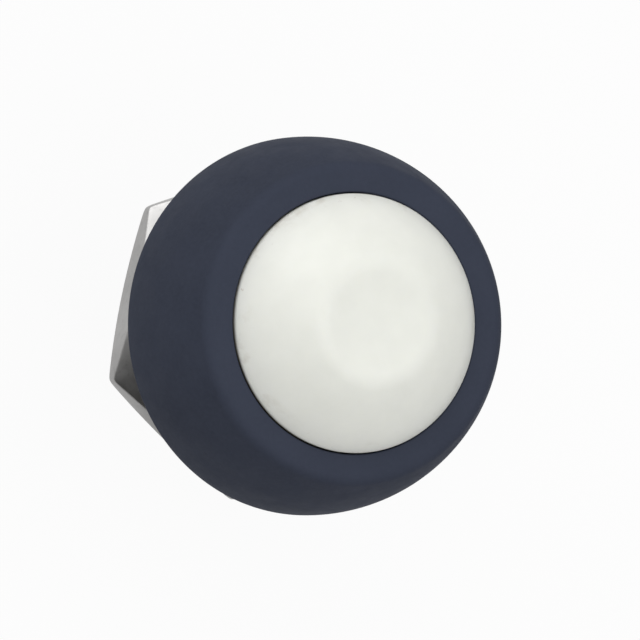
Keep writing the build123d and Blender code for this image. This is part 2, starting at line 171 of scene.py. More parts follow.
class HeadSettings(bpy.types.PropertyGroup):
    """Sizes of the black moulding: the bezel, the threaded bushing and the rear body."""

    cap_gap: length("Cap gap", "Radial gap between the cap and the bezel", 0.15)
    lip: length("Lip", "How far the land's inner lip closes the gap", 0.09)
    lip_depth: length("Lip depth", "From the land down to the lip's lower side", 0.5)
    land_width: length("Land width", "Flat ring round the cap with its rounded edge", 1.15)
    foot_height: length("Foot height", "From the underside up to the widest circle", 0.42)
    foot_radius: length("Foot radius", "Rounding of the bezel's lower edge", 0.40)
    land_edge_radius: length("Land edge radius", "Rounding between land and domed side", 0.6)
    recess_chamfer: length("Recess chamfer", "Chamfer of the land's inner edge", 0.05)
    recess_depth: length("Recess depth", "From the land to the floor under the cap", 4.27)
    guide_radius: length("Guide radius", "Bore that the plunger runs in", 2.6)
    web_thickness: length("Web thickness", "Wall with the guide bore", 3.0)
    collar_radius: length("Collar radius", "Plain collar that fills the panel's hole", 6.0)
    collar_length: length("Collar length", "Length of the plain collar", 1.2)
    neck_step: length("Neck step", "Radial step from the collar up to the neck", 0.2)
    neck_lead: length("Neck lead", "Height of the cone between neck and collar", 0.15)
    relief_step: length("Relief step", "From the thread's root down to the relief above it", 0.06)
    relief_run_out: length("Relief run-out", "Width of the relief beyond one pitch", 0.2)
    thread_length: length("Thread length", "Length of the threaded bushing", 4.5)
    thread_pitch: length("Thread pitch", "Rise of the thread in one turn", 1.0)
    thread_allowance: length("Thread allowance", "Crests lie this far inside the nominal size", 0.05)
    thread_crest: length("Thread crest", "Width of the flat on the crest", 0.125)
    thread_root: length("Thread root", "Width of the flat in the root", 0.17)
    thread_flank: angle("Thread flank", "Between a flank and the plane across the axis", 30.0)
    thread_chamfer: length("Thread chamfer", "Lead-in chamfer of the thread", 0.35)
    rear_radius: length("Rear radius", "Outside of the rear body", 5.0)
    rear_wall: length("Rear wall", "Wall of the rear body", 0.6)
    rear_chamfer: length("Rear chamfer", "Chamfer at the rear end", 0.3)
    ledge_width: length("Ledge width", "Step that the terminal base seats on", 0.3)
    rib_inner: length("Rib inner side", "From the axis to the inner side of a guide rib", 2.70)
    rib_near: length("Rib near face", "From the XZ plane to the near face of a guide rib", 1.12)
    rib_thickness: length("Rib thickness", "Thickness of the four ribs that guide the bridge", 0.6)
    rib_top: length("Rib top", "Height of the ribs' upper ends", -3.15)
    key_width: length("Key width", "Width of the key for the terminal base", 1.2)
    key_reach: length("Key reach", "From the counterbore's wall to the key's inner face", 0.4)
    key_length: length("Key length", "Length of the key below the ledge", 1.9)
    edge_radius: length("Edge radius", "Rounding of every other moulded edge", 0.05)


class CapSettings(bpy.types.PropertyGroup):
    """Sizes of the white button cap."""

    stand: length("Stand", "Rim of the cap above the bezel's land", 0.13)
    dome_radius: length("Dome radius", "Radius of the domed roof", 6.8)
    dish_radius: length("Dish radius", "Radius of the finger dish", 2.6)
    dish_depth: length("Dish depth", "Depth of the finger dish", 0.2)
    dish_blend: length("Dish blend", "Rounding of the dish's rim", 1.5)
    rim_radius: length("Rim radius", "Rounding of the cap's upper edge", 0.2)
    wall: length("Wall", "Skirt wall", 1.0)
    roof: length("Roof", "Thickness of the roof", 1.2)
    seat_width: length("Seat width", "Step that the return spring bears on", 1.3)
    boss_radius: length("Boss radius", "Outside of the boss over the plunger", 2.5)
    socket_radius: length("Socket radius", "Hole for the plunger's spigot", 1.6)
    socket_gap: length("Socket gap", "Between the spigot's end and the socket", 0.1)
    edge_radius: length("Edge radius", "Rounding of every other moulded edge", 0.06)


class NutSettings(bpy.types.PropertyGroup):
    """Sizes of the plated hexagon nut."""

    across_flats: length("Across flats", "Distance between opposite flats", 14.0)
    turn: angle("Turn", "Angle of the first corner from X", 43.8)
    chamfer_angle: angle("Chamfer angle", "Slope of the two corner chamfers", 30.0)
    chamfer_inset: length("Chamfer inset", "Chamfer circle inside the flats", 0.2)
    corner_ease: length("Corner ease", "What the rounding takes off each corner", 0.06)
    bore_chamfer: length("Bore chamfer", "Countersink at both ends of the thread", 0.3)
    bore_groove: length("Bore groove", "Depth of the bore's grooves outside the crests", 0.15)
    edge_softness: length("Edge softness", "Rounding where chamfers and flats meet", 0.035)


class GasketSettings(bpy.types.PropertyGroup):
    """Sizes of the rubber gasket."""

    neck_gap: length("Neck gap", "Between the gasket's hole and the bezel's neck", 0.05)
    outer_rounding: length("Outer rounding", "Rounding of the two outer edges", 0.18)
    inner_rounding: length("Inner rounding", "Rounding of the two inner edges", 0.10)


class ResinSettings(bpy.types.PropertyGroup):
    """How the potting resin creeps up what it touches."""

    creep: length("Creep", "How far the resin climbs", 0.16)
    wall_fade: length("Wall fade", "Distance over which the climb at the wall fades", 0.28)
    leg_fade: length("Leg fade", "Distance over which the climb at a terminal fades", 0.22)
    strip: length("Strip", "Thickness of the terminals' strip", 0.5)


class SpringSettings(bpy.types.PropertyGroup):
    """Wire and turns of the two springs."""

    return_wire: length("Return wire", "Wire diameter of the return spring", 0.5)
    return_turns: number("Return turns", "Turns of the return spring", 5.5)
    contact_wire: length("Contact wire", "Wire diameter of the contact spring", 0.3)
    contact_turns: number("Contact turns", "Turns of the contact spring", 4.0)


class FinishSettings(bpy.types.PropertyGroup):
    """Colours of the finishes."""

    head: colour("Head", "Black moulded head", (0.0355, 0.0415, 0.0615))
    cap: colour("Cap", "White moulded cap", (0.85, 0.86, 0.80))
    # This colour also darkens the cap in the gap below the land, as painted shade
    grime_and_gap_shade: colour("Cap grime", "Grime in the gap at the cap's edge", (0.36, 0.29, 0.20))
    plating: colour("Plating", "Plated steel of the nut", (0.43, 0.425, 0.42))
    rubber: colour("Rubber", "Gasket and seal ring", (0.018, 0.018, 0.020))
    acetal: colour("Acetal", "Plunger", (0.74, 0.73, 0.68))
    spring_steel: colour("Spring steel", "Spring wire", (0.55, 0.55, 0.56))
    dark_steel: colour("Dark steel", "Clip and washer", (0.16, 0.155, 0.15))
    brass: colour("Brass", "Contact bridge", (0.70, 0.54, 0.27))
    silver: colour("Silver", "Contact faces", (0.86, 0.86, 0.84))
    tin: colour("Tin", "Tinned terminals", (0.70, 0.70, 0.68))
    base: colour("Base", "Black terminal base", (0.030, 0.029, 0.028))
    resin: colour("Resin", "Cast potting resin", (0.018, 0.018, 0.020))


class StageSettings(bpy.types.PropertyGroup):
    """Camera, lights and floor."""

    distance: length("Distance", "From the camera to the bezel", 230)
    aim_height: length("Aim height", "What the camera aims at, above the bezel's underside", 0.3)
    tilt: angle("Tilt", "Angle between the view and the button's axis", 22.65)
    roll: angle("Roll", "Turn of the camera about its own axis", 3.4)
    focal_length: number("Focal length", "Lens, in millimetres", 288.0, unit="CAMERA")
    aside: length("Aside", "Camera's offset to its right of the aim", 0.670)
    above: length("Above", "Camera's offset upwards of the aim", 0.271)
    overhead: number("Overhead", "Strength of the light from straight overhead", 1.17)
    key_power: number("Key power", "Large lamp above", 0.34, unit="POWER")
    key_size: length("Key size", "Side of the large lamp above", 260)
    key_place: vector(
        "Key place", "From the aim to the lamp above, along the camera's right, up and back",
        (-0.08, 0.25, 0.18), unit="LENGTH",
    )
    front_power: number("Front power", "Large lamp at the front", 0.09, unit="POWER")
    front_size: length("Front size", "Side of the large lamp at the front", 280)
    front_place: vector(
        "Front place", "From the aim to the front lamp, along the camera's right, up and back",
        (0.16, -0.04, 0.30), unit="LENGTH",
    )
    dark_side: vector(
        "Dark side", "Direction of the dim part of the room", (0.55, -0.62, 0.55), subtype="DIRECTION"
    )
    dark_inner: angle("Dark inner", "Half the angle of the dim part at full depth", 15.0)
    dark_outer: angle("Dark outer", "Half the angle where the dim part has faded out", 60.0)
    dark_level: share("Dark level", "What the dim part shows in metal", 0.04)
    floor_reach: length("Floor reach", "From the middle of the floor to its sides", 1500)
    floor_colour: colour("Floor", "Pale floor", (0.80, 0.80, 0.80))
    floor_glow: share("Floor glow", "Share of the floor's white that is even", 0.92)
    mirrored_glow: share("Mirrored glow", "The same share in mirrored light", 0.40)


# ---------------- profiles

# The shares of a run that a corner's arc and its support point may take
ARC_SHARE = 0.45
SUPPORT_SHARE = 0.48

# The bezel's support point lies this far above the rounding of its foot
FOOT_SUPPORT = 0.02 * MM

# Points of a profile, points of a mesh and ends of an edge that are nearer than this are one point
PROFILE_DOUBLE = 1e-7
MESH_DOUBLE = 1e-8
EDGE_DOUBLE = 1e-9


def arc(centre, radius, start, stop, step):
    """Points of a circular arc: the centre plus the radius turned from one angle to another, in radians."""
    count = max(3, int(math.ceil(abs(stop - start) / step)) + 1)
    turn = np.linspace(start, stop, count)
    return np.column_stack([centre[0] + radius * np.cos(turn), centre[1] + radius * np.sin(turn)])


def rounded(corners, rounding):
    """A polyline of (radius, height) corners with each inner corner replaced by its tangent arc.

    The rounding is one radius, or one for each inner corner. The arc touches both runs at its radius times
    the tangent of half the turn from the corner. Support points near the ends of a run keep its shading flat.
    """
    corners = np.array(corners, float)
    roundings = np.broadcast_to(rounding, len(corners) - 2)
    points = [corners[:1]]
    for before, at, after, size in zip(corners[:-2], corners[1:-1], corners[2:], roundings):
        into, out = at - before, after - at
        run_in, run_out = np.linalg.norm(into), np.linalg.norm(out)
        into, out = into / run_in, out / run_out
        turn = math.atan2(into[0] * out[1] - into[1] * out[0], into @ out)
        slope = math.tan(abs(turn) / 2)
        reach = min(size * slope, ARC_SHARE * run_in, ARC_SHARE * run_out)
        radius = reach / slope
        side = math.copysign(1.0, turn)
        centre = at - into * reach + side * radius * np.array([-into[1], into[0]])
        first = math.atan2(*(at - into * reach - centre)[::-1])
        points.append((at - into * min(2 * reach, SUPPORT_SHARE * run_in))[None])
        points.append(arc(centre, radius, first, first + turn, CORNER_STEP))
        points.append((at + out * min(2 * reach, SUPPORT_SHARE * run_out))[None])
    points.append(corners[-1:])
    return np.vstack(points)


def refined(profile, limit):
    """The profile with each run longer than limit(radius, height) divided evenly."""
    pieces = []
    for start, stop in zip(profile[:-1], profile[1:]):
        middle = (start + stop) / 2
        count = max(1, int(math.ceil(np.linalg.norm(stop - start) / limit(*middle))))
        along = np.arange(count)[:, None] / count
        pieces.append(start + (stop - start) * along)
    pieces.append(profile[-1:])
    return np.vstack(pieces)


# ---------------- surfaces

def finish_mesh(name, vertices, faces, closed=True):
    """A smooth-shaded object at the origin with doubles merged and, if it is closed, its faces outwards."""
    mesh = bpy.data.meshes.new(name)
    mesh.from_pydata(vertices.tolist(), [], faces)
    work = bmesh.new()
    work.from_mesh(mesh)
    bmesh.ops.remove_doubles(work, verts=work.verts, dist=MESH_DOUBLE)
    bmesh.ops.dissolve_degenerate(work, edges=work.edges, dist=EDGE_DOUBLE)
    if closed:
        bmesh.ops.recalc_face_normals(work, faces=work.faces)
    work.to_mesh(mesh)
    work.free()
    mesh.shade_smooth()
    piece = bpy.data.objects.new(name, mesh)
    bpy.context.scene.collection.objects.link(piece)
    return piece


def grid_faces(rows, columns, close_rows, close_columns):
    """Quads between neighbouring points of a grid, wrapped round in either direction if it is closed."""
    row = np.arange(rows if close_rows else rows - 1)
    column = np.arange(columns if close_columns else columns - 1)
    i, j = (part.ravel() for part in np.meshgrid(row, column, indexing="ij"))
    next_i, next_j = (i + 1) % rows, (j + 1) % columns
    corners = [i * columns + j, next_i * columns + j, next_i * columns + next_j, i * columns + next_j]
    return np.column_stack(corners).tolist()


def turned(radius, height, angles):
    """Points (radius cos angle, radius sin angle, height) on a grid of angle by profile point."""
    around = angles[:, None]
    return np.stack([radius * np.cos(around), radius * np.sin(around), height + 0 * around], axis=-1)


def lathe(name, radius, height, angles, closed):
    """A surface turned about Z, whose radius and height may vary with the angle.

    A closed profile joins its last point to its first. An open one starts and ends on the axis.
    """
    points = turned(radius, height, angles)
    faces = grid_faces(*points.shape[:2], True, closed)
    return finish_mesh(name, points.reshape(-1, 3), faces)


def even_angles(count):
    """Evenly spaced angles of one turn."""
    return np.arange(count) * FULL_TURN / count


def blocks(boxes):
    """Vertices and faces of closed boxes given by their low and high corners."""
    corner = np.array([[x, y, z] for x in (0, 1) for y in (0, 1) for z in (0, 1)])
    sides = [(0, 1, 3, 2), (4, 6, 7, 5), (0, 4, 5, 1), (2, 3, 7, 6), (0, 2, 6, 4), (1, 5, 7, 3)]
    vertices = np.vstack([low + corner * (high - low) for low, high in boxes])
    faces = [tuple(index + len(corner) * k for index in side) for k in range(len(boxes)) for side in sides]
    return vertices, faces


def thread_depth(sizes):
    """Depth of the thread: half of what crest and root leave of the pitch, over the flank's slope."""
    return (sizes.thread_pitch - sizes.thread_crest - sizes.thread_root) / 2 / math.tan(sizes.thread_flank)


def thread_groove(sizes, angles, height):
    """Depth of the right-hand thread's groove below its crests.

    The groove's middle starts in the middle of the relief at angle 0 and rises one pitch in each turn.
    With the distance from that middle, the depth falls along the flank from the root to nought at the crest.
    """
    relief = sizes.thread_pitch + sizes.relief_run_out
    turns = (height + sizes.collar_length + relief / 2) / sizes.thread_pitch - angles / FULL_TURN
    aside = np.abs(turns - np.round(turns)) * sizes.thread_pitch
    half_mouth = (sizes.thread_pitch - sizes.thread_crest) / 2
    return np.clip((half_mouth - aside) / math.tan(sizes.thread_flank), 0, thread_depth(sizes))


# ---------------- finishes

class Nodes:
    """A node tree under construction."""

    def __init__(self, tree):
        self.tree = tree

    def feed(self, socket, value):
        """Links a socket or sets its value."""
        if isinstance(value, bpy.types.NodeSocket):
            self.tree.links.new(value, socket)
        else:
            socket.default_value = value

    def node(self, kind, **inputs):
        """A node with the given input values; a socket as a value is linked."""
        made = self.tree.nodes.new(kind)
        for key, value in inputs.items():
            self.feed(made.inputs[key.replace("_", " ")], value)
        return made

    def ordered(self, kind, *values, **settings):
        """A node with the given settings and its inputs fed in their order."""
        made = self.tree.nodes.new(kind)
        for key, value in settings.items():
            setattr(made, key, value)
        for socket, value in zip(made.inputs, values):
            self.feed(socket, value)
        return made

    def math(self, operation, first, second=0.0):
        """One step of arithmetic."""
        return self.ordered("ShaderNodeMath", first, second, operation=operation).outputs[0]

    def cosine(self, direction, towards):
        """Cosine of the angle between two directions of length one."""
        made = self.ordered("ShaderNodeVectorMath", direction, towards, operation="DOT_PRODUCT")
        return made.outputs["Value"]

    def mixed(self, part, first, second):
        """The first shader changed into the second by a part from 0 to 1."""
        return self.ordered("ShaderNodeMixShader", part, first, second).outputs[0]

    def seen_or_mirrored(self):
        """One for camera, glossy and transmission rays, and nought for the rays that light the object."""
        path = self.node("ShaderNodeLightPath").outputs
        mirrored = self.math("MAXIMUM", path["Is Glossy Ray"], path["Is Transmission Ray"])
        return self.math("MAXIMUM", path["Is Camera Ray"], mirrored)


class Finish(Nodes):
    """A procedural material under construction: a Principled shader and the nodes that feed it."""

    def __init__(self, name, base, roughness, metallic=0.0):
        self.material = bpy.data.materials.new(name)
        self.material.use_nodes = True
        super().__init__(self.material.node_tree)
        self.shader = self.tree.nodes["Principled BSDF"]
        self.finished(Base_Color=(*base, 1.0), Roughness=roughness, Metallic=metallic)
        self.place = self.node("ShaderNodeTexCoord").outputs["Object"]

    def finished(self, **sockets):
        """The material, with the shader's own sockets linked or set."""
        for key, value in sockets.items():
            self.feed(self.shader.inputs[key.replace("_", " ")], value)
        return self.material

    def stretched(self, scale):
        """Object coordinates multiplied by scale along X, Y and Z."""
        return self.node("ShaderNodeMapping", Vector=self.place, Scale=scale).outputs["Vector"]

    def noise(self, scale, detail=4.0, rough=0.55, place=None):
        """Fractal noise whose features are about 1 / scale metres."""
        values = {"Vector": place or self.place, "Scale": scale, "Detail": detail, "Roughness": rough}
        return self.node("ShaderNodeTexNoise", **values).outputs["Fac"]

    def spread(self, value, low, high, from_low=0.3, from_high=0.7):
        """The value stretched from one range to another and clamped."""
        limits = {"From_Min": from_low, "From_Max": from_high, "To_Min": low, "To_Max": high}
        return self.node("ShaderNodeMapRange", Value=value, **limits).outputs["Result"]

    def blend(self, part, first, second):
        """The first colour changed into the second by a part from 0 to 1."""
        made = self.tree.nodes.new("ShaderNodeMix")
        made.data_type = "RGBA"
        self.feed(made.inputs[0], part)
        for socket, value in ((made.inputs[6], first), (made.inputs[7], second)):
            self.feed(socket, value if isinstance(value, bpy.types.NodeSocket) else (*value, 1.0))
        return made.outputs[2]

    def clouded(self, scale, base, darkest, lightest, detail=3.0, rough=0.55):
        """The base colour with slow changes of tone between two factors."""
        tone = self.spread(self.noise(scale, detail, rough), 0.0, 1.0)
        return self.blend(tone, scaled(base, darkest), scaled(base, lightest))

    def bump(self, value, distance, strength, normal=None):
        """Relief of the given height from a value, over an earlier relief's normal where there is one."""
        made = self.node("ShaderNodeBump", Height=value, Distance=distance, Strength=strength)
        if normal is not None:
            self.feed(made.inputs["Normal"], normal)
        return made.outputs["Normal"]

    def coordinates(self):
        """X, Y and Z of the object coordinates."""
        return self.node("ShaderNodeSeparateXYZ", Vector=self.place).outputs


def scaled(base, factor):
    """A colour made lighter or darker."""
    return tuple(min(1.0, channel * factor) for channel in base)


def eroded_nylon(settings):
    """Matte black moulding: spark-eroded grain, slow changes of tone and gloss, and painted light on the land.
    """
    finish = Finish("eroded_nylon", settings.head, 0.68)
    clouded = finish.clouded(420.0, settings.head, 0.93, 1.08)
    speckle = finish.spread(finish.noise(5200.0, 3.0, 0.6), 0.0, 0.35, 0.35, 0.68)
    grained = finish.blend(speckle, clouded, scaled(settings.head, 1.28))
    land = HOUSING_HIGH.z
    # Painted light: the land and its rounded edge are painted lighter, standing in for the light from above
    # that falls on them
    land_light_mask = finish.spread(finish.coordinates()[2], 0.0, 0.46, land - 0.35 * MM, land - 0.04 * MM)
    land_lit_tone = finish.blend(land_light_mask, grained, scaled(settings.head, 1.32))
    roughness = finish.spread(finish.noise(900.0, 2.0), 0.62, 0.74)
    grain = finish.bump(finish.noise(7000.0, 3.0, 0.65), 0.012 * MM, 0.55)
    return finish.finished(Base_Color=land_lit_tone, Roughness=roughness, Normal=grain, Specular_IOR_Level=0.07)


def satin_white(settings):
    """Satin white cap: faint mottling, a fine texture, a little grime near the rim, and painted shade with some
    grime in the gap.
    """
    finish = Finish("satin_white", settings.cap, 0.42)
    clouded = finish.clouded(650.0, settings.cap, 0.975, 1.015)
    x, y, z = finish.coordinates()
    squares = finish.math("ADD", finish.math("MULTIPLY", x, x), finish.math("MULTIPLY", y, y))
    from_axis = finish.math("SQRT", squares)
    rim = finish.spread(from_axis, 0.0, 1.0, CAP_HIGH.x - 0.55 * MM, CAP_HIGH.x - 0.02 * MM)
    patches = finish.spread(finish.noise(900.0, 4.0, 0.6), 0.0, 0.30, 0.52, 0.66)
    soiled = finish.blend(finish.math("MULTIPLY", rim, patches), clouded, settings.grime_and_gap_shade)
    specks = finish.spread(finish.noise(4200.0, 2.0, 0.5), 0.0, 0.35, 0.70, 0.76)
    spotted = finish.blend(finish.math("MULTIPLY", specks, rim), soiled, settings.grime_and_gap_shade)
    land = HOUSING_HIGH.z
    # Painted shade with some grime: the cap below the land's level is darkened, most towards +X, the side away
    # from the light
    gap_shade_mask = finish.spread(z, 1.0, 0.0, land - 0.10 * MM, land + 0.08 * MM)
    side = finish.spread(x, 0.25, 1.0, -0.6 * CAP_HIGH.x, 0.3 * CAP_HIGH.x)
    gap_shaded = finish.blend(finish.math("MULTIPLY", gap_shade_mask, side), spotted, scaled(settings.grime_and_gap_shade, 0.25))
    return finish.finished(
        Base_Color=gap_shaded,
        Roughness=finish.spread(finish.noise(1500.0, 2.0), 0.38, 0.48),
        Normal=finish.bump(finish.noise(6000.0, 2.0), 0.006 * MM, 0.35),
        Subsurface_Weight=0.35,
        Subsurface_Radius=(1.0, 1.0, 0.9),
        Subsurface_Scale=1.2 * MM,
    )


def dull_plating(settings):
    """Dull plated steel: cloudy plating, painted shade darkening the +X side, tumbling marks and fine pits."""
    finish = Finish("dull_plating", settings.plating, 0.36, 1.0)
    toned = finish.clouded(380.0, settings.plating, 0.86, 1.10, 4.0, 0.6)
    # Painted shade: the plating darkens towards +X, the side away from the light
    shade_side_mask = finish.spread(finish.coordinates()[0], 0.0, 1.0, 1.0 * MM, 3.5 * MM)
    side_shaded = finish.blend(shade_side_mask, toned, scaled(settings.plating, 0.68))
    pits = finish.spread(finish.noise(3600.0, 3.0, 0.6), 0.35, 0.0, 0.30, 0.42)
    pitted = finish.blend(pits, side_shaded, scaled(settings.plating, 0.55))
    roughness = finish.spread(finish.noise(700.0, 3.0), 0.30, 0.46)
    streaks = finish.noise(900.0, 3.0, 0.6, finish.stretched((1.0, 1.0, 9.0)))
    marks = finish.bump(streaks, 0.010 * MM, 0.4)
    pitting = finish.bump(finish.noise(5200.0, 2.0), 0.006 * MM, 0.35, marks)
    return finish.finished(Base_Color=pitted, Roughness=roughness, Normal=pitting)


def moulded_rubber(settings):
    """Matt rubber with a dusty bloom."""
    finish = Finish("moulded_rubber", settings.rubber, 0.78)
    bloom = finish.spread(finish.noise(1100.0, 4.0, 0.6), 0.0, 0.6, 0.45, 0.75)
    dusty = finish.blend(bloom, settings.rubber, scaled(settings.rubber, 2.3))
    relief = finish.bump(finish.noise(5000.0, 3.0), 0.012 * MM, 0.5)
    return finish.finished(Base_Color=dusty, Normal=relief)


def plain_moulding(name, base, roughness, grain=5000.0):
    """A plain moulded plastic with slight clouding and grain."""
    finish = Finish(name, base, roughness)
    clouded = finish.clouded(700.0, base, 0.93, 1.06)
    relief = finish.bump(finish.noise(grain, 3.0), 0.008 * MM, 0.4)
    rough = finish.spread(finish.noise(1300.0, 2.0), roughness - 0.05, roughness + 0.06)
    return finish.finished(Base_Color=clouded, Roughness=rough, Normal=relief)


def drawn_metal(name, base, roughness, stretch=(1.0, 1.0, 1.0), tarnish=0.8):
    """A metal with drawing or rolling marks, drawn out where stretch is small, and light tarnish."""
    finish = Finish(name, base, roughness, 1.0)
    toned = finish.clouded(900.0, base, tarnish, 1.05, 4.0, 0.6)
    lines = finish.noise(2600.0, 3.0, 0.6, finish.stretched(stretch))
    rough = finish.spread(lines, roughness - 0.06, roughness + 0.08)
    relief = finish.bump(lines, 0.006 * MM, 0.4)
    return finish.finished(Base_Color=toned, Roughness=rough, Normal=relief)


def cast_resin(settings):
    """Glossy black potting resin with slow waves and a few tiny bubbles."""
    finish = Finish("cast_resin", settings.resin, 0.16)
    bubbles = finish.node("ShaderNodeTexVoronoi", Vector=finish.place, Scale=1400.0).outputs["Distance"]
    craters = finish.spread(bubbles, 0.0, 1.0, 0.05, 0.16)
    waves = finish.bump(finish.noise(260.0, 2.0), 0.05 * MM, 0.5)
    relief = finish.bump(craters, 0.02 * MM, 0.5, waves)
    rough = finish.spread(finish.noise(600.0, 2.0), 0.12, 0.24)
    return finish.finished(Roughness=rough, Normal=relief)


def dress(piece, material):
    """Gives a piece its only material."""
    piece.data.materials.clear()
    piece.data.materials.append(material)


def dress_node(node, material):
    """Puts a material on a CAD node through its object's material slots."""
    for place in frame["nodes"][node].material_slots:
        place.link = "OBJECT"
        place.material = material


# ---------------- pieces and stage, each with its operator

def bezel_side(sizes):
    """The outside profile from the land's edge down to the bezel's underside.

    The domed side is an arc that leaves the widest circle upright. Its radius follows from its rise and lean.
    """
    land, bezel, underside = HOUSING_HIGH.z, HOUSING_HIGH.x, GASKET_HIGH.z
    widest = underside + sizes.foot_height
    rise, lean = land - widest, bezel - (CAP_HIGH.x + sizes.cap_gap + sizes.land_width)
    dome = (rise**2 + lean**2) / (2 * lean)
    dome_centre = (bezel - dome, widest)
    edge, foot = sizes.land_edge_radius, sizes.foot_radius
    edge_height = land - edge
    edge_radius = dome_centre[0] + math.sqrt((dome - edge) ** 2 - (edge_height - widest) ** 2)
    edge_turn = math.atan2(edge_height - widest, edge_radius - dome_centre[0])
    pieces = [
        arc((edge_radius, edge_height), edge, math.pi / 2, edge_turn, LAND_EDGE_STEP),
        arc(dome_centre, dome, edge_turn, 0.0, SIDE_STEP)[1:],
        [[bezel, underside + foot + FOOT_SUPPORT]],
        arc((bezel - foot, underside + foot), foot, 0.0, -math.pi / 2, FOOT_STEP),
    ]
    return np.vstack(pieces)


def head_shell(sizes):
    """Points of the head's closed wall on a grid of angle by profile point, with the thread's groove cut in."""
    land, underside, rear_end = HOUSING_HIGH.z, GASKET_HIGH.z, HOUSING_LOW.z
    collar, rear = sizes.collar_radius, sizes.rear_radius
    neck = collar + sizes.neck_step
    thread_top = -sizes.collar_length - sizes.thread_pitch - sizes.relief_run_out
    thread_bottom = thread_top - sizes.thread_length
    crest = collar - sizes.thread_allowance
    relief = crest - thread_depth(sizes) - sizes.relief_step
    counterbore = rear - sizes.rear_wall
    chamber = counterbore - sizes.ledge_width
    floor = land - sizes.recess_depth
    web_bottom = floor - sizes.web_thickness
    recess = CAP_HIGH.x + sizes.cap_gap
    lip = recess - sizes.lip
    outside = bezel_side(sizes)
    corners = [
        outside[-1],
        (neck, underside),
        (neck, sizes.neck_lead),
        (collar, 0),
        (collar, -sizes.collar_length),
        (relief, -sizes.collar_length),
        (relief, thread_top),
        (crest, thread_top),
        (crest, thread_bottom + sizes.thread_chamfer),
        (crest - sizes.thread_chamfer, thread_bottom),
        (rear, thread_bottom),
        (rear, rear_end + sizes.rear_chamfer),
        (rear - sizes.rear_chamfer, rear_end),
        (counterbore, rear_end),
        (counterbore, BASE_TOP),
        (chamber, BASE_TOP),
        (chamber, web_bottom),
        (sizes.guide_radius, web_bottom),
        (sizes.guide_radius, floor),
        (recess, floor),
        (recess, land - sizes.lip_depth),
        (lip, land - sizes.lip_depth + sizes.lip),
        (lip, land - sizes.recess_chamfer),
        (lip + sizes.recess_chamfer, land),
        outside[0],
    ]
    slack = THREAD_RUN / 2

    def threaded(radius, height):
        """Whether a point lies on the threaded stretch, with half a short run to spare."""
        return (height < thread_top + slack) & (height > thread_bottom - slack) & (radius > rear + slack)

    outline = np.vstack([outside, rounded(corners, sizes.edge_radius)])
    profile = refined(outline, lambda *middle: THREAD_RUN if threaded(*middle) else HEAD_RUN)
    apart = np.linalg.norm(np.diff(profile, axis=0), axis=1) > PROFILE_DOUBLE
    radius, height = profile[np.append(True, apart)][:-1].T
    around = even_angles(HEAD_STEPS)
    cut = np.minimum(radius, crest - thread_groove(sizes, around[:, None], height))
    return turned(np.where(threaded(radius, height), cut, radius), height, around)


def guide_ribs(sizes):
    """Vertices and faces of the four ribs that guide the bridge and of the key for the terminal base."""
    counterbore = sizes.rear_radius - sizes.rear_wall
    wall = (counterbore + sizes.rear_radius) / 2
    rib_far = sizes.rib_near + sizes.rib_thickness
    rib_end = math.sqrt(wall**2 - rib_far**2)
    low = np.array([sizes.rib_inner, sizes.rib_near, BASE_TOP])
    high = np.array([rib_end, rib_far, sizes.rib_top])
    sides = [np.array([x, y, 1]) for x in (-1, 1) for y in (-1, 1)]
    boxes = [(np.minimum(low * side, high * side), np.maximum(low * side, high * side)) for side in sides]
    half_key = sizes.key_width / 2
    key_low = np.array([-half_key, counterbore - sizes.key_reach, BASE_TOP - sizes.key_length])
    boxes.append((key_low, np.array([half_key, wall, BASE_TOP + sizes.edge_radius])))
    return blocks(boxes)


class SWITCH_OT_make_head(bpy.types.Operator):
    """Turn the black moulding: bezel, threaded bushing and rear body in one closed wall"""

    bl_idname = "switch.make_head"
    bl_label = "Make Head"

    def execute(self, context):
        sizes = context.scene.switch_head
        shell = head_shell(sizes)
        faces = grid_faces(*shell.shape[:2], True, True)
        points = shell.reshape(-1, 3)
        ribs, rib_faces = guide_ribs(sizes)
        faces += [tuple(index + len(points) for index in face) for face in rib_faces]
        head = finish_mesh("head_moulding", np.vstack([points, ribs]), faces)
        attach(head, "switch_body")
        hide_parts("housing")
        dress(head, eroded_nylon(context.scene.switch_finish))
        return {"FINISHED"}


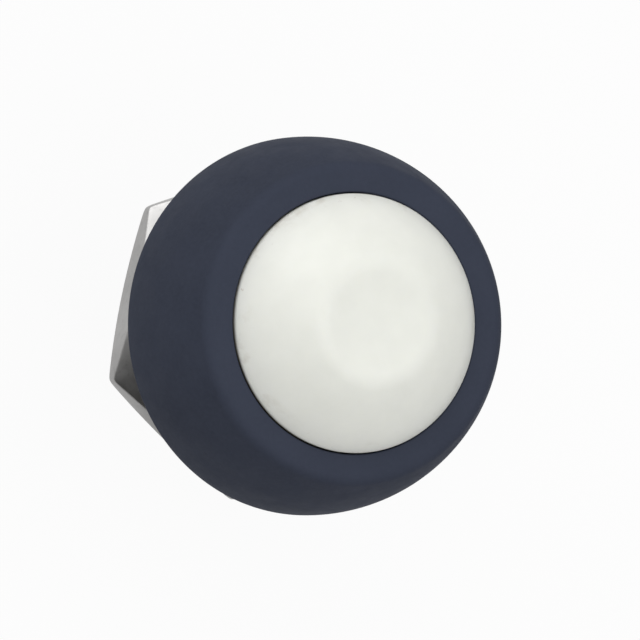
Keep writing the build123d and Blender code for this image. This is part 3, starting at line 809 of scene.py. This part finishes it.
def cap_profile(sizes):
    """The cap's profile from the middle of the dish over the rim and the skirt to the middle of the socket.

    The dish is a spherical cap turned upside down, and its radius follows from its width and depth. The blend
    touches the dish and the dome: its centre lies dish + blend and dome - blend from their centres.
    """
    outer, bottom = CAP_HIGH.x, CAP_LOW.z
    dome, edge, blend = sizes.dome_radius, sizes.rim_radius, sizes.dish_blend
    dome_centre = HOUSING_HIGH.z + sizes.stand - math.sqrt(dome**2 - outer**2)
    ring = dome_centre + math.sqrt(dome**2 - sizes.dish_radius**2)
    dish = (sizes.dish_radius**2 + sizes.dish_depth**2) / (2 * sizes.dish_depth)
    dish_centre = ring - sizes.dish_depth + dish
    near, far = dome - blend, dish + blend
    gap = dish_centre - dome_centre
    blend_rise = (near**2 - far**2 + gap**2) / (2 * gap)
    blend_radius = math.sqrt(near**2 - blend_rise**2)
    blend_height = dome_centre + blend_rise
    dish_turn = math.atan2(blend_height - dish_centre, blend_radius)
    dome_turn = math.atan2(blend_rise, blend_radius)
    edge_radius = outer - edge
    edge_height = dome_centre + math.sqrt((dome - edge) ** 2 - edge_radius**2)
    edge_turn = math.atan2(edge_height - dome_centre, edge_radius)
    roof = [
        arc((0, dish_centre), dish, -math.pi / 2, dish_turn, DISH_STEP),
        arc((blend_radius, blend_height), blend, dish_turn + math.pi, dome_turn, BLEND_STEP)[1:],
        arc((0, dome_centre), dome, dome_turn, edge_turn, DOME_STEP)[1:],
        arc((edge_radius, edge_height), edge, edge_turn, 0.0, RIM_STEP)[1:],
    ]
    skirt = outer - sizes.wall
    seat = skirt - sizes.seat_width
    boss, socket = sizes.boss_radius, sizes.socket_radius
    inner = dome - sizes.roof
    seat_turn, boss_turn = math.acos(seat / inner), math.acos(boss / inner)
    ceiling = arc((0, dome_centre), inner, seat_turn, boss_turn, CEILING_STEP)
    walls = [
        (outer, edge_height),
        (outer, bottom),
        (skirt, bottom),
        (skirt, RETURN_SPRING_TOP),
        (seat, RETURN_SPRING_TOP),
        (seat, ceiling[0, 1]),
    ]
    socket_end = PLUNGER_TOP + sizes.socket_gap
    middle = [
        (boss, ceiling[-1, 1]),
        (boss, bottom),
        (socket, bottom),
        (socket, socket_end),
        (0, socket_end),
    ]
    skirt_side, boss_side = (rounded(corners, sizes.edge_radius)[1:] for corners in (walls, middle))
    return np.vstack([*roof, skirt_side, ceiling[1:], boss_side])


class SWITCH_OT_make_cap(bpy.types.Operator):
    """Turn the white cap: dished dome, skirt, spring seat and the boss over the plunger"""

    bl_idname = "switch.make_cap"
    bl_label = "Make Cap"

    def execute(self, context):
        profile = cap_profile(context.scene.switch_cap)
        radius, height = refined(profile, lambda *middle: CAP_RUN).T
        cap = lathe("cap_dome", radius, np.minimum(height, CAP_HIGH.z), even_angles(CAP_STEPS), False)
        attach(cap, "button")
        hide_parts("button_cap")
        dress(cap, satin_white(context.scene.switch_finish))
        return {"FINISHED"}


def soft_minimum(first, second, soft):
    """The smaller of two values, rounded over: their mean less sqrt((first - second)^2 / 4 + soft^2)."""
    return (first + second) / 2 - np.sqrt((first - second) ** 2 / 4 + soft**2)


class SWITCH_OT_make_nut(bpy.types.Operator):
    """Cut the hexagon nut: six flats under two cones, with a threaded bore"""

    bl_idname = "switch.make_nut"
    bl_label = "Make Nut"

    def execute(self, context):
        sizes, head = context.scene.switch_nut, context.scene.switch_head
        top, bottom = NUT_HIGH.z, NUT_LOW.z
        flat, soft = sizes.across_flats / 2, sizes.edge_softness
        cone = flat - sizes.chamfer_inset
        major = head.collar_radius
        mouth = major + sizes.bore_chamfer
        around = even_angles(NUT_STEPS)
        # A flat at distance f from the axis is met at f / cos(angle from the flat's middle)
        sector = np.mod(around - sizes.turn, HEX_SIDE) - HEX_SIDE / 2
        hexagon = flat / np.cos(sector)
        corner = flat / math.cos(HEX_SIDE / 2) - sizes.corner_ease
        side = np.linspace(top, bottom, SIDE_POINTS)
        chamfer = cone + np.minimum(top - side, side - bottom) / math.tan(sizes.chamfer_angle)
        outside = soft_minimum(soft_minimum(hexagon[:, None], chamfer, soft), corner, soft)
        across = np.linspace(mouth, cone - FACE_INSET, FACE_POINTS)
        # The bore's grooves lie half a pitch from the bushing's, and clear its crests as the nut slides
        bore = np.linspace(bottom, top, BORE_POINTS)
        groove = thread_groove(head, around[:, None], bore + head.thread_pitch / 2) / thread_depth(head)
        countersink = mouth - np.minimum(top - bore, bore - bottom)
        inside = np.maximum(major + sizes.bore_groove * groove, countersink)
        ones = np.ones((NUT_STEPS, 1))
        radius = np.hstack([ones * across, outside, ones * across[::-1], inside])
        height = np.concatenate([np.full(FACE_POINTS, top), side, np.full(FACE_POINTS, bottom), bore])
        nut = lathe("plated_nut", radius, height, around, True)
        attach(nut, "nut")
        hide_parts("hex_nut")
        dress(nut, dull_plating(context.scene.switch_finish))
        return {"FINISHED"}


class SWITCH_OT_make_gasket(bpy.types.Operator):
    """Mould the flat rubber gasket with rounded edges"""

    bl_idname = "switch.make_gasket"
    bl_label = "Make Gasket"

    def execute(self, context):
        sizes, head = context.scene.switch_gasket, context.scene.switch_head
        inner, outer = head.collar_radius + head.neck_step + sizes.neck_gap, GASKET_HIGH.x
        low, high = GASKET_LOW.z, GASKET_HIGH.z
        start = ((inner + outer) / 2, high)
        corners = [start, (outer, high), (outer, low), (inner, low), (inner, high), start]
        roundings = [sizes.outer_rounding] * 2 + [sizes.inner_rounding] * 2
        radius, height = rounded(corners, roundings)[:-1].T
        gasket = lathe("rubber_gasket", radius, height, even_angles(GASKET_STEPS), True)
        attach(gasket, "switch_body")
        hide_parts("panel_gasket")
        dress(gasket, moulded_rubber(context.scene.switch_finish))
        return {"FINISHED"}


class SWITCH_OT_pour_potting(bpy.types.Operator):
    """Pour the potting resin: a disc whose free face creeps up the wall and the two terminals"""

    bl_idname = "switch.pour_potting"
    bl_label = "Pour Potting"

    def execute(self, context):
        sizes = context.scene.switch_resin
        wall = POTTING_HIGH.x
        rings = np.linspace(0, 1, RESIN_RINGS) ** RESIN_POWER * wall
        around = even_angles(RESIN_STEPS)
        x, y = rings * np.cos(around)[:, None], rings * np.sin(around)[:, None]
        # Distance from the nearer terminal's rectangle
        outer_leg = LEG_HIGH.x
        inner_leg = outer_leg - sizes.strip
        beside = np.maximum(np.maximum(np.abs(x) - outer_leg, inner_leg - np.abs(x)), 0)
        beyond = np.maximum(np.abs(y) - (LEG_HIGH.y - LEG_LOW.y) / 2, 0)
        to_leg = np.hypot(beside, beyond)
        # The climb at the wall and at a terminal is creep * exp(-distance / fade), and the greater one counts
        climb = np.maximum(np.exp((rings - wall) / sizes.wall_fade), np.exp(-to_leg / sizes.leg_fade))
        free = POTTING_LOW.z + sizes.creep * (1 - climb)
        height = np.hstack([free, np.full((RESIN_STEPS, 2), POTTING_HIGH.z)])
        potting = lathe("resin_fill", np.append(rings, [wall, 0.0]), height, around, False)
        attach(potting, "switch_body")
        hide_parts("potting_seal")
        dress(potting, cast_resin(context.scene.switch_finish))
        return {"FINISHED"}


def coil(name, low, high, wire, turns):
    """A wire coil with closed, ground ends.

    The wire's middle keeps its distance from the axis. It rises a little in each end turn and evenly between,
    and a bell-shaped window smooths the rise. The round section is swept along it and cut flat at both seats.
    """
    turn = np.linspace(0, 1, int(turns * TURN_POINTS) + 1) * turns
    bottom, top = low.z + wire * SEAT_RISE, high.z - wire * SEAT_RISE
    levels = [bottom, bottom + wire * END_RISE, top - wire * END_RISE, top]
    rise = np.interp(turn, [0.0, 1.0, turns - 1.0, turns], levels)
    window = np.hanning(RISE_WINDOW)
    rise = np.convolve(np.pad(rise, RISE_WINDOW // 2, mode="edge"), window / window.sum(), mode="valid")
    section = even_angles(WIRE_POINTS)
    radius = high.x - wire / 2 + wire / 2 * np.cos(section)
    height = np.clip(rise[:, None] + wire / 2 * np.sin(section), low.z, high.z)
    points = turned(radius, height, turn * FULL_TURN)
    rows, columns = points.shape[:2]
    faces = grid_faces(rows, columns, False, True)
    faces += [tuple(range(columns)), tuple(range((rows - 1) * columns, rows * columns))]
    return finish_mesh(name, points.reshape(-1, 3), faces)


class SWITCH_OT_wind_springs(bpy.types.Operator):
    """Wind the return spring and the contact spring with closed, ground ends"""

    bl_idname = "switch.wind_springs"
    bl_label = "Wind Springs"

    def execute(self, context):
        sizes = context.scene.switch_springs
        steel = drawn_metal("spring_wire", context.scene.switch_finish.spring_steel, 0.26)
        reach = {joint["name"]: joint["range_m"][1] for joint in frame["joints"]}
        travel = reach["button_press"]
        overtravel = travel - reach["bridge_travel"]
        springs = (
            ("return_coil", "return_spring", "switch_body", sizes.return_wire, sizes.return_turns, travel),
            ("contact_coil", "contact_spring", "bridge", sizes.contact_wire, sizes.contact_turns, overtravel),
        )
        for name, node, body, wire, turns, closing in springs:
            low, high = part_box(node)
            spring = coil(name, low, high, wire, turns)
            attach(spring, body)
            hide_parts(node)
            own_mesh(spring)
            dress(spring, steel)
        return {"FINISHED"}


class SWITCH_OT_dress_inner_parts(bpy.types.Operator):
    """Give the stamped, turned and moulded inner parts their finishes"""

    bl_idname = "switch.dress_inner_parts"
    bl_label = "Dress Inner Parts"

    def execute(self, context):
        colours = context.scene.switch_finish
        tin = drawn_metal("tinned_strip", colours.tin, 0.34, (6.0, 6.0, 1.0), 0.85)
        silver = drawn_metal("silver_face", colours.silver, 0.30)
        dark_steel = drawn_metal("phosphated_steel", colours.dark_steel, 0.48)
        finishes = {
            "plunger": plain_moulding("acetal_rod", colours.acetal, 0.38),
            "plunger_seal_ring": moulded_rubber(colours),
            "retaining_clip": dark_steel,
            "bridge_retainer": dark_steel,
            "contact_bridge": drawn_metal("rolled_brass", colours.brass, 0.30, (1.0, 6.0, 6.0)),
            "terminal_base": plain_moulding("filled_moulding", colours.base, 0.55, 3500.0),
        }
        for side in ("left", "right"):
            finishes[side + "_bridge_contact"] = finishes[side + "_fixed_contact"] = silver
            finishes[side + "_terminal"] = tin
        for node, material in finishes.items():
            dress_node(node, material)
        return {"FINISHED"}


def pale_floor(sizes):
    """Matte pale floor: seen or mirrored it glows most of the way to white, and the rest keeps the shadow."""
    finish = Finish("pale_floor", sizes.floor_colour, 0.9)
    finish.finished(Base_Color=finish.clouded(60.0, sizes.floor_colour, 0.995, 1.0))
    glow = finish.node("ShaderNodeEmission", Color=WHITE, Strength=1.0)
    seen = finish.node("ShaderNodeLightPath").outputs["Is Camera Ray"]
    direct = finish.math("MULTIPLY", seen, sizes.floor_glow)
    mirrored = finish.math("MULTIPLY", finish.seen_or_mirrored(), sizes.mirrored_glow)
    glowing = finish.math("MAXIMUM", direct, mirrored)
    surface = finish.mixed(glowing, finish.shader.outputs[0], glow.outputs[0])
    finish.feed(finish.tree.nodes["Material Output"].inputs["Surface"], surface)
    return finish.material


def studio_world(sizes):
    """A room that lights the object from above and looks white behind it.

    As light its strength is overhead times the cosine of the angle from straight up, and nought from below.
    Where it is seen it is white. In mirrored light it dims smoothly towards the dark side, by the cosine of
    the angle from there.
    """
    world = bpy.data.worlds.new("studio")
    world.use_nodes = True
    nodes = Nodes(world.node_tree)
    direction = nodes.node("ShaderNodeTexCoord").outputs["Generated"]
    above = nodes.math("MAXIMUM", nodes.cosine(direction, (0.0, 0.0, 1.0)), 0.0)
    sky = nodes.tree.nodes["Background"]
    nodes.feed(sky.inputs["Color"], WHITE)
    nodes.feed(sky.inputs["Strength"], nodes.math("MULTIPLY", above, sizes.overhead))
    near = nodes.cosine(direction, Vector(sizes.dark_side).normalized())
    limits = {"From_Min": math.cos(sizes.dark_outer), "From_Max": math.cos(sizes.dark_inner)}
    dim = nodes.node("ShaderNodeMapRange", Value=near, To_Min=1.0, To_Max=sizes.dark_level, **limits)
    dim.interpolation_type = "SMOOTHSTEP"
    seen = nodes.node("ShaderNodeLightPath").outputs["Is Camera Ray"]
    strength = nodes.math("MAXIMUM", seen, dim.outputs["Result"])
    backdrop = nodes.node("ShaderNodeBackground", Color=WHITE, Strength=strength)
    surface = nodes.mixed(nodes.seen_or_mirrored(), sky.outputs[0], backdrop.outputs[0])
    nodes.feed(nodes.tree.nodes["World Output"].inputs["Surface"], surface)
    return world


def lamp(name, place, target, size, power):
    """A soft square lamp that faces its target."""
    light = bpy.data.lights.new(name, "AREA")
    light.shape = "SQUARE"
    light.size = size
    light.energy = power
    holder = bpy.data.objects.new(name, light)
    holder.location = place
    holder.rotation_euler = (target - place).to_track_quat("-Z", "Y").to_euler()
    bpy.context.scene.collection.objects.link(holder)


class SWITCH_OT_set_stage(bpy.types.Operator):
    """Set the pale floor, the soft lamps, the world and the camera"""

    bl_idname = "switch.set_stage"
    bl_label = "Set Stage"

    def execute(self, context):
        sizes = context.scene.switch_stage
        scene = context.scene
        scene.view_settings.view_transform = "Standard"
        scene.world = studio_world(sizes)
        reach, level = sizes.floor_reach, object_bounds()[0][2]
        square = reach * np.array([(-1, -1), (1, -1), (1, 1), (-1, 1)])
        corners = np.column_stack([square, np.full(4, level)])
        floor = finish_mesh("floor", corners, [(0, 1, 2, 3)], closed=False)
        floor.data.materials.append(pale_floor(sizes))
        floor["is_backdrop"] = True

        # The camera leans from the button's axis towards the front and is rolled about its own axis
        aim = Vector((0, 0, GASKET_HIGH.z + sizes.aim_height))
        lean = Matrix.Rotation(sizes.tilt, 3, "X")
        upright = Matrix.Rotation(FULL_TURN / 4, 3, "Z")
        axes = lean @ upright @ Matrix.Rotation(-sizes.roll, 3, "Z")
        pose = axes.to_4x4()
        pose.translation = aim + axes @ Vector((sizes.aside, sizes.above, sizes.distance))
        lens = bpy.data.cameras.new("camera")
        lens.lens = sizes.focal_length
        lens.clip_start = 0.005
        lens.clip_end = 5.0
        camera = bpy.data.objects.new("camera", lens)
        camera.matrix_world = pose
        scene.collection.objects.link(camera)
        scene.camera = camera

        key, front = (aim + axes @ Vector(place) for place in (sizes.key_place, sizes.front_place))
        lamp("key_lamp", key, aim, sizes.key_size, sizes.key_power)
        lamp("front_lamp", front, aim, sizes.front_size, sizes.front_power)
        return {"FINISHED"}


class SWITCH_PT_panel(bpy.types.Panel):
    """Buttons for every piece of the switch"""

    bl_idname = "SWITCH_PT_panel"
    bl_label = "Pushbutton Switch"
    bl_space_type = "VIEW_3D"
    bl_region_type = "UI"
    bl_category = "Switch"

    def draw(self, context):
        for operator in MAKERS:
            self.layout.operator(operator.bl_idname)
        for holder in SETTINGS:
            box = self.layout.box()
            group = getattr(context.scene, holder)
            for name in group.__annotations__:
                box.prop(group, name)


SETTINGS = {
    "switch_head": HeadSettings,
    "switch_cap": CapSettings,
    "switch_nut": NutSettings,
    "switch_gasket": GasketSettings,
    "switch_resin": ResinSettings,
    "switch_springs": SpringSettings,
    "switch_finish": FinishSettings,
    "switch_stage": StageSettings,
}

MAKERS = (
    SWITCH_OT_make_head,
    SWITCH_OT_make_cap,
    SWITCH_OT_make_nut,
    SWITCH_OT_make_gasket,
    SWITCH_OT_pour_potting,
    SWITCH_OT_wind_springs,
    SWITCH_OT_dress_inner_parts,
    SWITCH_OT_set_stage,
)


def register():
    """Registers the settings, the operators and the panel."""
    for holder, group in SETTINGS.items():
        bpy.utils.register_class(group)
        setattr(bpy.types.Scene, holder, PointerProperty(type=group))
    for made in (*MAKERS, SWITCH_PT_panel):
        bpy.utils.register_class(made)


def unregister():
    """Removes everything that register added."""
    for made in (SWITCH_PT_panel, *reversed(MAKERS)):
        bpy.utils.unregister_class(made)
    for holder, group in reversed(SETTINGS.items()):
        delattr(bpy.types.Scene, holder)
        bpy.utils.unregister_class(group)


def main():
    """Makes every piece in order."""
    register()
    for maker in MAKERS:
        area, action = maker.bl_idname.split(".")
        getattr(getattr(bpy.ops, area), action)()


if __name__ == "__main__":
    main()
